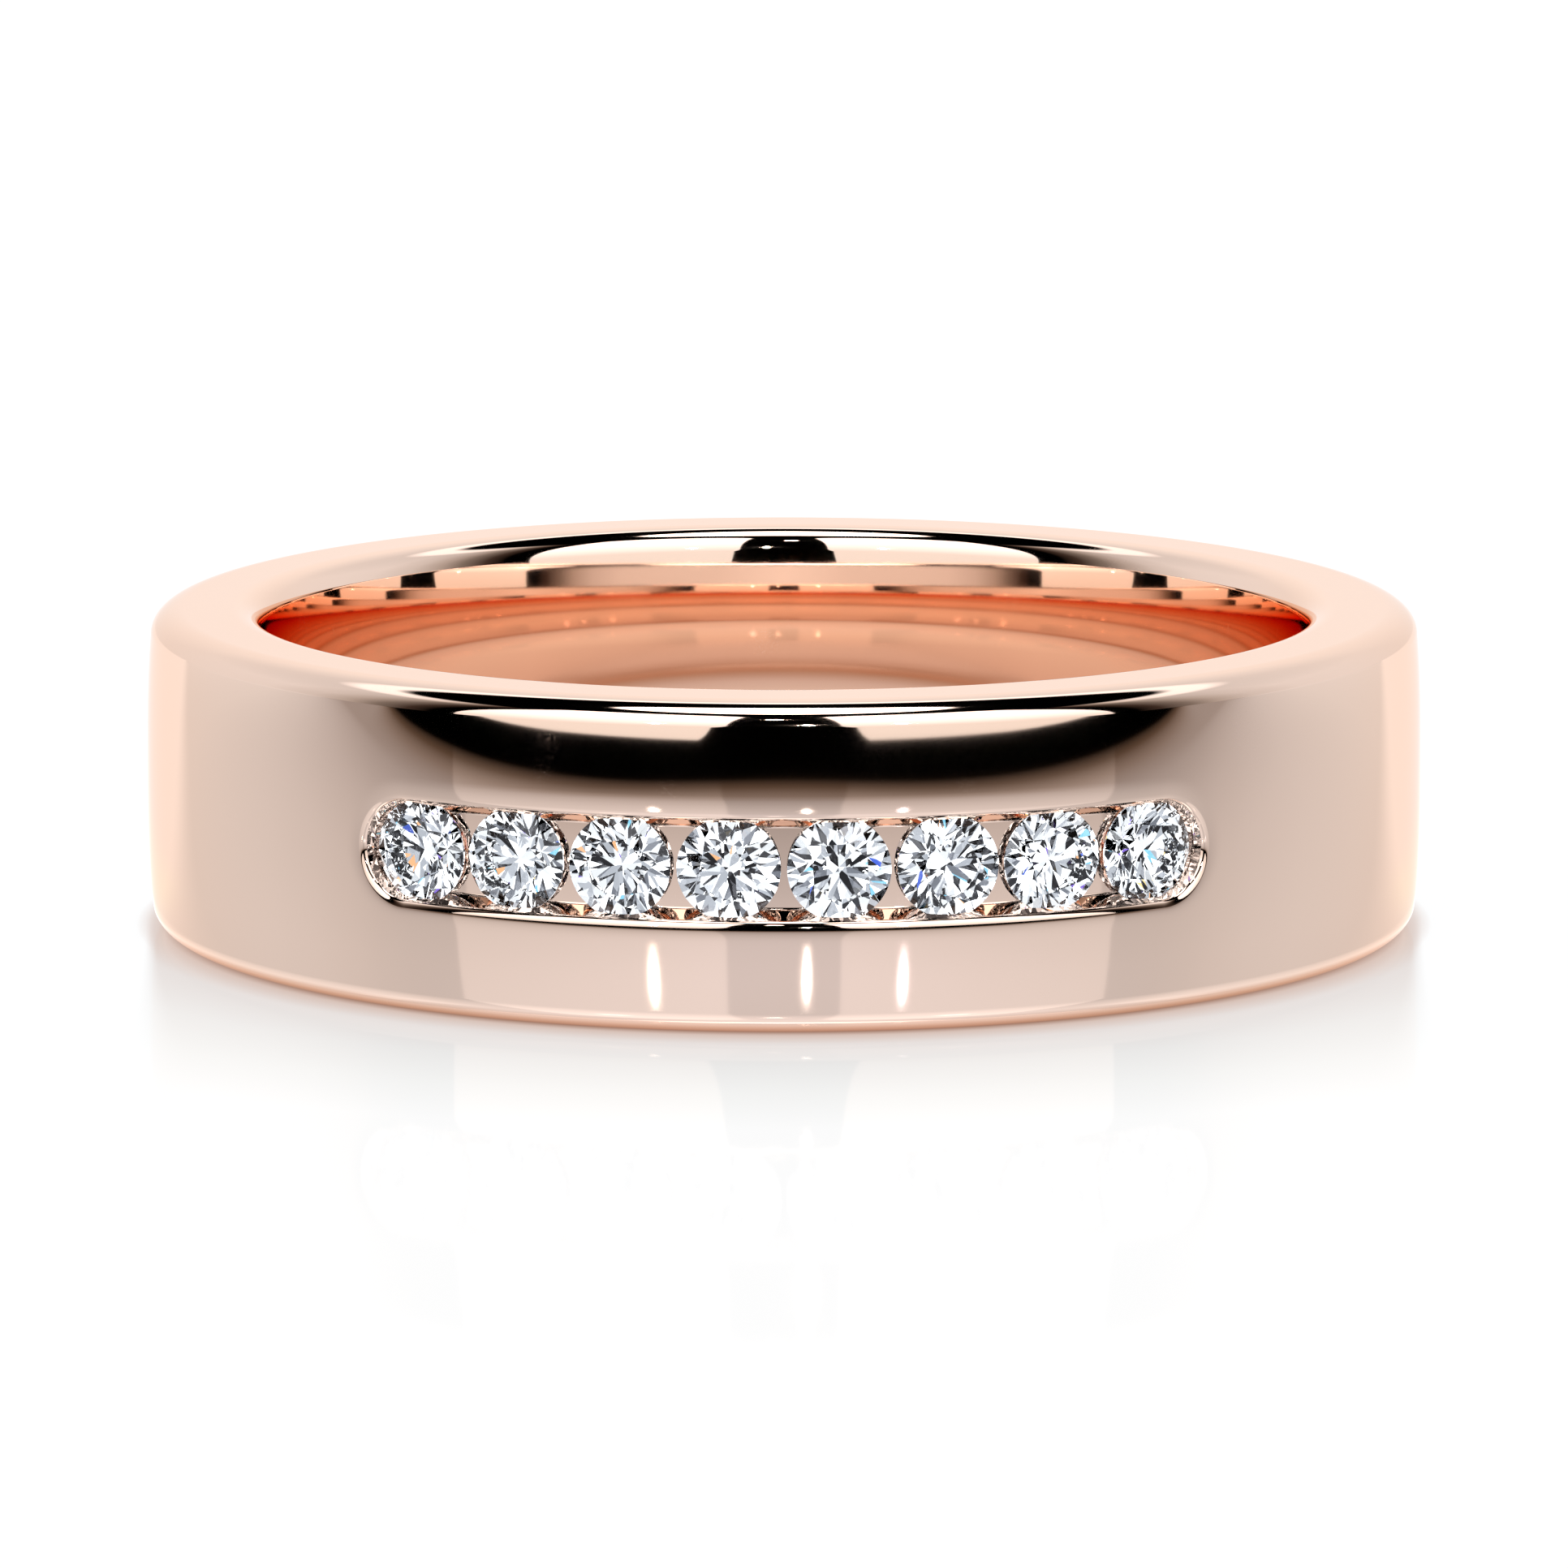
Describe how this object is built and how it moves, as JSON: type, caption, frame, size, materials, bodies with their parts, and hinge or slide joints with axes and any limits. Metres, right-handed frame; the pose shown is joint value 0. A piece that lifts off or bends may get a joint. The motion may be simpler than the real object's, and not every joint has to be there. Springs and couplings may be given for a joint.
{
  "type": "wedding band",
  "caption": "Wide gold wedding band with a comfort-fit bore and a row of round brilliant diamonds set in a channel.",
  "frame": {"origin": "centre of the finger hole, half way across the band's width", "axes": "+Z along the finger axis; the row of diamonds faces -Y and is centred on it"},
  "size_m": [0.0238, 0.0239, 0.006],
  "materials": {
    "rose_gold": "mirror-polished rose gold",
    "diamond": "polished colourless diamond"
  },
  "bodies": {
    "root": {"band": "rose_gold", "diamond_1": "diamond", "diamond_2": "diamond", "diamond_3": "diamond", "diamond_4": "diamond", "diamond_5": "diamond", "diamond_6": "diamond", "diamond_7": "diamond", "diamond_8": "diamond"}
  },
  "joints": []
}
